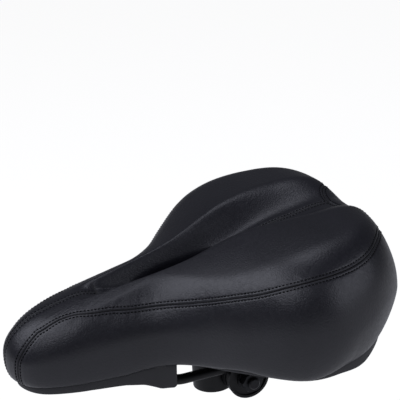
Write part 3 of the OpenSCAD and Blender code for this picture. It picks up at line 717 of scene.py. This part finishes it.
def padding():
    """Foam between the cover and the base, with the two gel pads let into it, and the lining of the
    cut-out."""
    i, j = some(len(U), 2), some(len(V), 2)
    u, v = U[i][:, None], V[j][None, :]
    # the foam starts behind the lining, so its first rows are moved outward
    length = np.linalg.norm(outline(u) - loop(u, **HOLE), axis=-1)
    flat = length - np.minimum(smooth(ROUNDING, outline(u)[..., 0]), 0.9 * length)
    first = COVER_T * FLAT_ZONE / (flat * smooth(SEAM_ROW, u))
    v = np.where(v < 2 * first, first + v / 2, v)
    under = cover_point(u, v, INSET[np.ix_(i, j)] + COVER_T + gel_depth(u, v))
    tops = np.stack([pan_top(U[i], k / 8) for k in range(9)], axis=1)
    edge = np.concatenate([under, tops[:, :0:-1], from_cut(U[i], COVER_T, tops[:, 0, 2])[:, None]], axis=1)
    foam = ring("foam", edge, FOAM, "foam", False)
    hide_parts("foam_pad")
    low, high = np.searchsorted(U, GEL_U)
    j = np.arange(np.searchsorted(V, GEL_V[0]) - 1, np.searchsorted(V, GEL_V[1]) + 1)
    i = np.arange(low - 1, high + 1)
    grid = np.ix_(i, j)
    u, v = U[i][:, None], V[j][None, :]
    gel = np.stack([INNER[grid], cover_point(u, v, INSET[grid] + COVER_T + gel_depth(u, v) + 0.02)])
    keep = np.ones((len(i) - 1, len(j) - 1), bool)
    for hand, points in (("left", gel), ("right", mirrored(gel))):
        faces = sheet_faces(len(i), len(j), keep, hand == "right")
        pad = piece(f"gel_pad_{hand}", points, [faces], GEL)
        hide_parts(f"gel_insert_{hand}")
    wall, top = pan_top(U, 0), INNER[:, 0]
    back, top_back = from_cut(U, COVER_T, wall[:, 2]), from_cut(U, COVER_T, top[:, 2])
    share = np.linspace(0, 1, 9)[None, :, None]
    lining = ring("channel_wall", np.concatenate([mix(back[:, None], top_back[:, None], share),
                                                  mix(top[:, None], wall[:, None], share)], axis=1),
                  TOP_LEATHER, "top_leather", False)
    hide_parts("channel_lining")


# ---------------------------------------------------------------- base
LIP_ROW = 14


def base():
    """Moulded base: a shell under the foam, a ledge that the cover's edge sits on, and a skirt with a
    rounded lip that drops to a foot under the nose."""
    u = BASE_U
    rim, foot = rim_height(u), skirt_height(u)
    fall, edge = rim - foot, pan_edge(u)
    tops = [pan_top(u, k / 8) for k in range(8)]
    slot_plan = loop(u - lean(u), **SLOT)
    slot_top = np.concatenate([slot_plan, tops[0][:, 2:]], axis=1)
    lip = np.minimum(SKIRT_T / 2, 0.9 * fall)
    # this section's row LIP_ROW is the one of the lip that shows as its lower edge
    section = [lower(slot_top, PAN_T)] + [lower(p, PAN_T) for p in tops]
    section.append(rim_place(u, COVER_T + PAN_T + 3, edge[:, 2] - PAN_T - 0.5))
    for a in np.linspace(0, np.pi, 7):
        section.append(rim_place(u, LEDGE + 0.1 * fall + SKIRT_T / 2 * (1 + np.cos(a)),
                                 foot + lip * (1 - np.sin(a))))
    for s in np.linspace(0, 1, 8)[1:]:
        section.append(rim_place(u, LEDGE + 0.1 * fall * (1 - s) + 0.5 * s**3, mix(foot + lip, rim - 0.3, s)))
    section += [rim_place(u, LEDGE + 0.7, rim), rim_place(u, COVER_T, rim), edge]
    section += tops[::-1] + [slot_top]
    made = ring("base", np.stack(section, axis=1), PLASTIC, "moulded_base", True)
    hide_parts("base_pan")
    return np.stack(section, axis=1)


# ---------------------------------------------------------------- rails
WIRE_D = 7.0
RAIL_Y, RAIL_Z = 22.0, 8.5
STRAIGHT = (-50.0, 28.0)
BEND_R, LOOP_R = 25.0, 9.0
RISE, TOE_IN = math.radians(14.7), math.radians(11)
TURN_BACK, ROLL_BACK, LEG_BACK = math.radians(38), math.radians(15), 34.0


def bend(x, way, roll, turn, count):
    """Places along a rail bend that starts level at x and rises by `turn` in a plane rolled by `roll`."""
    t = np.linspace(0, turn, count)
    rise = BEND_R * (1 - np.cos(t))
    return np.stack([x + way * BEND_R * np.sin(t), RAIL_Y - rise * math.sin(roll),
                     RAIL_Z + rise * math.cos(roll)], axis=-1)


def wire_path():
    """Middle line of the wire: rear leg, bend, straight clamping length, bend, front leg and hairpin on
    the left, then the same back on the right."""
    turn = math.acos(math.cos(TOE_IN) * math.cos(RISE))
    roll = math.atan2(math.sin(TOE_IN), math.cos(TOE_IN) * math.sin(RISE))
    front = bend(STRAIGHT[1], 1, roll, turn, 12)
    rear = bend(STRAIGHT[0], -1, -ROLL_BACK, TURN_BACK, 20)
    way = np.array([-math.cos(TURN_BACK), math.sin(TURN_BACK) * math.sin(ROLL_BACK),
                    math.sin(TURN_BACK) * math.cos(ROLL_BACK)])
    leg = rear[-1] + way * np.linspace(LEG_BACK, 0, 9)[:-1, None]
    length = (front[-1, 1] - LOOP_R * math.cos(TOE_IN)) / math.sin(TOE_IN)
    middle = length * math.cos(TOE_IN) - LOOP_R * math.sin(TOE_IN)
    a = np.linspace(math.pi / 2 - TOE_IN, 0, 16)
    x = middle + LOOP_R * np.cos(a)
    hairpin = np.stack([front[-1, 0] + x * math.cos(RISE), LOOP_R * np.sin(a),
                        front[-1, 2] + x * math.sin(RISE)], axis=-1)
    joins = [np.linspace(rear[0], front[0], 14)[1:-1], np.linspace(front[-1], hairpin[0], 12)[1:-1]]
    left = np.concatenate([leg, rear[::-1], joins[0], front, joins[1], hairpin])
    return np.concatenate([left, mirrored(left[:-1])[::-1]])


def tube(path, radius, sides, edge=0.8):
    """Round tube along a path: circles square to the path's direction, with each end's edge rounded."""
    way = unit(np.gradient(path, axis=0))
    side = unit(np.cross(way, [0, 0, 1]))
    up = np.cross(side, way)
    a = np.linspace(0, 2 * np.pi, sides, endpoint=False)
    circle = side[:, None] * np.cos(a)[:, None] + up[:, None] * np.sin(a)[:, None]
    body = path[:, None] + radius * circle
    t = np.linspace(0, np.pi / 2, 5)[:, None, None]
    beyond, out = edge * np.cos(t), radius - edge + edge * np.sin(t)
    first = path[0] - beyond * way[0] + out * circle[0]
    last = path[-1] + beyond * way[-1] + out * circle[-1]
    return np.concatenate([first, body[1:-1], last[::-1]])


def capped(rows):
    """Faces of a tube's rows of points, with a flat face over each end."""
    n, m = rows.shape[:2]
    around = cells(n, m, closed=True).reshape(-1, 4)
    ends = np.stack([np.arange(m)[::-1], np.arange(m) + (n - 1) * m])
    return [around[:, ::-1], ends[:, ::-1]]


def rails():
    """The rail wire: a round tube along its path."""
    rows = tube(wire_path(), WIRE_D / 2, 40)
    made = piece("rail_wire", rows, capped(rows), ENAMEL)
    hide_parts("seat_rails")


# ---------------------------------------------------------------- stitches
def even_places(line, gap):
    """Places at even steps along a line, half a step in from its start."""
    run = np.concatenate([[0], np.cumsum(np.linalg.norm(np.diff(line, axis=0), axis=-1))])
    at = (np.arange(max(1, int(run[-1] // gap))) + 0.5) * run[-1] / max(1, int(run[-1] // gap))
    return np.stack([np.interp(at, run, line[:, k]) for k in range(3)], axis=-1)


def stitch_rows():
    """Lines of the stitch rows on the left half: each seam's line moved squarely to its side along the
    bare skin, to both sides but for the middle seams, whose other row is on the right half."""
    rows = []
    for line, both_sides in ((SEAMS[0][0], True), (SEAMS[2][0], True), (MIDDLE_FRONT, False),
                             (MIDDLE_REAR, False)):
        line = even_places(line, 2.0)
        out = np.array([BARE_TREE.find_nearest(Vector(p * MM))[1] for p in line])
        side = unit(np.cross(out, unit(np.gradient(line, axis=0))))
        if both_sides:
            rows += [line + ROW_GAP * side, line - ROW_GAP * side]
        else:
            rows.append(line + ROW_GAP * side * np.sign(side[:, 1:2]))
    return rows


def stitches():
    """Stitches: short six-sided pods, an ellipse along the row that narrows to its two sunken ends, set on
    the finished cover of both halves."""
    a = np.linspace(0, 2 * np.pi, 6, endpoint=False)
    t = np.array([-1, -0.8, 0, 0.8, 1])
    wide = THREAD_R * np.array([0.1, 0.75, 1, 0.75, 0.1])[:, None]
    sink = THREAD_R * (0.25 - 0.9 * t**4)[:, None]
    runs = [even_places(row, STITCH) for row in stitch_rows()]
    middles = np.concatenate(runs)
    ahead = np.concatenate([unit(np.gradient(run, axis=0)) for run in runs])
    # where two rows run into one seam, the stitches on it are left out
    clear = np.min([away(middles[:, None], line)[:, 0] for line, _, _ in SEAMS], axis=0) > 0.75 * ROW_GAP
    middles, ahead = middles[clear], ahead[clear]
    middles, ahead = np.concatenate([middles, mirrored(middles)]), np.concatenate([ahead, mirrored(ahead)])
    found = [OUTER_TREE.find_nearest(Vector(p * MM)) for p in middles]
    place = np.array([f[0] for f in found]) / MM
    out = np.array([f[1] for f in found])
    ahead = unit(ahead - out * (ahead * out).sum(-1, keepdims=True))[:, None, None]
    side = np.cross(out, ahead[:, 0, 0])[:, None, None]
    points = (place[:, None, None] + ahead * (t * 0.4 * STITCH)[:, None, None]
              + side * (wide * np.cos(a))[..., None]
              + out[:, None, None] * (wide * np.sin(a) + sink)[..., None])
    start = np.arange(len(points))[:, None, None] * len(t) * len(a)
    faces = [(f[None] + start).reshape(-1, f.shape[1]) for f in capped(points[0])]
    return piece("stitching", points, faces, THREAD, sharp=80)


# ---------------------------------------------------------------- studio
# each lamp's name, azimuth from +Y towards +X, elevation, distance, width and watts
LAMPS = (
    ("top", 99, 51, 1.3, 1.1, 11.0),
    ("back", -150, 74, 1.3, 0.5, 2.2),
    ("front", 38, 44, 1.6, 0.7, 4.6),
    ("right", -44, 20, 1.6, 1.1, 6.5),
)
LAMP_COLOUR = (0.86, 0.88, 1.0)


def studio():
    """Pale floor well below the saddle, a plain dim world that looks white to the camera, and soft lamps."""
    made, tree = new_material("pale_floor")
    rays = add(tree, "ShaderNodeLightPath")
    seen = add(tree, "ShaderNodeMath", {"operation": "MAXIMUM"}, _0=rays.outputs["Is Camera Ray"],
               _1=rays.outputs["Is Transmission Ray"])
    seen = add(tree, "ShaderNodeMath", {"operation": "MULTIPLY"}, _0=seen.outputs[0], _1=0.8)
    # a satin surface mirrors less of the floor than the eye sees of it
    mirrored_share = add(tree, "ShaderNodeMath", {"operation": "MULTIPLY"}, _0=rays.outputs["Is Glossy Ray"],
                         _1=0.12)
    share = add(tree, "ShaderNodeMath", {"operation": "MAXIMUM"}, _0=seen.outputs[0],
                _1=mirrored_share.outputs[0])
    matt = add(tree, "ShaderNodeBsdfDiffuse", Color=linear("#f4f4f4"))
    glow = add(tree, "ShaderNodeEmission", Color=linear("#ffffff"), Strength=1.15)
    mixed = add(tree, "ShaderNodeMixShader", _0=share.outputs[0], _1=matt.outputs[0], _2=glow.outputs[0])
    clear = add(tree, "ShaderNodeBsdfTransparent")
    under = add(tree, "ShaderNodeNewGeometry")
    both = add(tree, "ShaderNodeMixShader", _0=under.outputs["Backfacing"], _1=mixed.outputs[0],
               _2=clear.outputs[0])
    add(tree, "ShaderNodeOutputMaterial", Surface=both.outputs[0])
    mesh = bpy.data.meshes.new("floor")
    size, z = 30.0, -0.16
    corners = [(-size, -size, z), (size, -size, z), (size, size, z), (-size, size, z)]
    mesh.from_pydata(corners, [], [(0, 1, 2, 3)])
    mesh.materials.append(made)
    floor = bpy.data.objects.new("floor", mesh)
    bpy.context.collection.objects.link(floor)
    floor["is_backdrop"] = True
    world = bpy.data.worlds.new("studio")
    bpy.context.scene.world = world
    world.use_nodes = True
    world.node_tree.nodes.clear()
    tree = world.node_tree
    rays = add(tree, "ShaderNodeLightPath")
    seen = add(tree, "ShaderNodeMath", {"operation": "MAXIMUM"}, _0=rays.outputs["Is Camera Ray"],
               _1=rays.outputs["Is Transmission Ray"])
    fill = add(tree, "ShaderNodeBackground", Color=(0.88, 0.9, 1, 1), Strength=0.12)
    white = add(tree, "ShaderNodeBackground", Color=(1, 1, 1, 1), Strength=1.0)
    sky = add(tree, "ShaderNodeMixShader", _0=seen.outputs[0], _1=fill.outputs[0], _2=white.outputs[0])
    add(tree, "ShaderNodeOutputWorld", Surface=sky.outputs[0])
    for name, azimuth, elevation, distance, width, watts in LAMPS:
        data = bpy.data.lights.new(name, "AREA")
        data.shape = "SQUARE"
        data.size = width
        data.energy = watts
        data.color = LAMP_COLOUR
        lamp = bpy.data.objects.new(name, data)
        bpy.context.collection.objects.link(lamp)
        a, e = math.radians(azimuth), math.radians(elevation)
        away_from = Vector((math.sin(a) * math.cos(e), math.cos(a) * math.cos(e), math.sin(e)))
        lamp.matrix_world = (Matrix.Translation(Vector(AIM) + away_from * distance)
                             @ away_from.to_track_quat("Z", "Y").to_matrix().to_4x4())
    bpy.context.scene.view_settings.view_transform = "Standard"


# ---------------------------------------------------------------- what shows where
def nearest_on(name, line):
    """How far a line (millimetres) passes from an image point: its nearest place less the point."""
    shown = project(np.asarray(line) * MM)
    gap = shown - POINTS[name]
    return gap[np.argmin((gap**2).sum(-1))]


def write_points(skirt):
    """Works out how far each named thing shows from its image point, in pixels; nothing is done with the
    result.
    """
    corners = []
    graph = bpy.context.evaluated_depsgraph_get()
    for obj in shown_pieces():
        mesh = obj.evaluated_get(graph).to_mesh()
        co = np.empty(3 * len(mesh.vertices), np.float32)
        mesh.vertices.foreach_get("co", co)
        turn = np.array(obj.matrix_world)
        corners.append(project(co.reshape(-1, 3) @ turn[:3, :3].T + turn[:3, 3]))
    shown = np.concatenate(corners)
    ends = {"left_edge": shown[shown[:, 0].argmin()], "right_edge": shown[shown[:, 0].argmax()],
            "top_edge": shown[shown[:, 1].argmin()], "bottom_edge": shown[shown[:, 1].argmax()]}
    off = {name: place - POINTS[name] for name, place in ends.items()}
    side = OUTER[NOSE_I:REAR_I + 1, SEAM_J]
    for name in ("nose_seam", "side_seam_middle", "side_seam_rear"):
        off[name] = nearest_on(name, side)
    off["rear_corner"] = project(OUTER[REAR_I, SEAM_J] * MM) - POINTS["rear_corner"]
    off["far_corner"] = project(mirrored(OUTER[REAR_I, SEAM_J]) * MM) - POINTS["far_corner"]
    off["centre_seam"] = nearest_on("centre_seam", OUTER[0])
    off["channel_end"] = nearest_on("channel_end", OUTER[0][np.abs(OUTER[0, :, 0] - CROSS_X) < 0.6])
    lip = skirt[:, LIP_ROW]
    foot = (lip[:, 0] > FOOT_X - 0.5) & (lip[:, 0] < FOOT_X + 3)
    off["foot_corner"] = nearest_on("foot_corner", lip[foot])
    wire = wire_path()
    off["near_rail"] = nearest_on("near_rail", wire[wire[:, 1] > 0])
    off["bolt_end"] = project(np.array([-15.5, 37.5, 0]) * MM) - POINTS["bolt_end"]


NODE_FINISH = {
    "post_band": ENAMEL, "clamp_bolt": ZINC, "inner_plate_left": ENAMEL, "inner_plate_right": ENAMEL,
    "outer_plate_left": ENAMEL, "outer_plate_right": ENAMEL, "washer_left": ZINC, "washer_right": ZINC,
    "nut_left": ZINC, "nut_right": ZINC, "nose_bracket": PLASTIC, "rear_bridge": PLASTIC,
    "carrier_screws": ZINC,
}
for node_name, finish in NODE_FINISH.items():
    for material_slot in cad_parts[node_name].material_slots:
        material_slot.material = finish

make_camera()
cover_panels()
padding()
SKIRT = base()
rails()
stitches()
studio()
write_points(SKIRT)
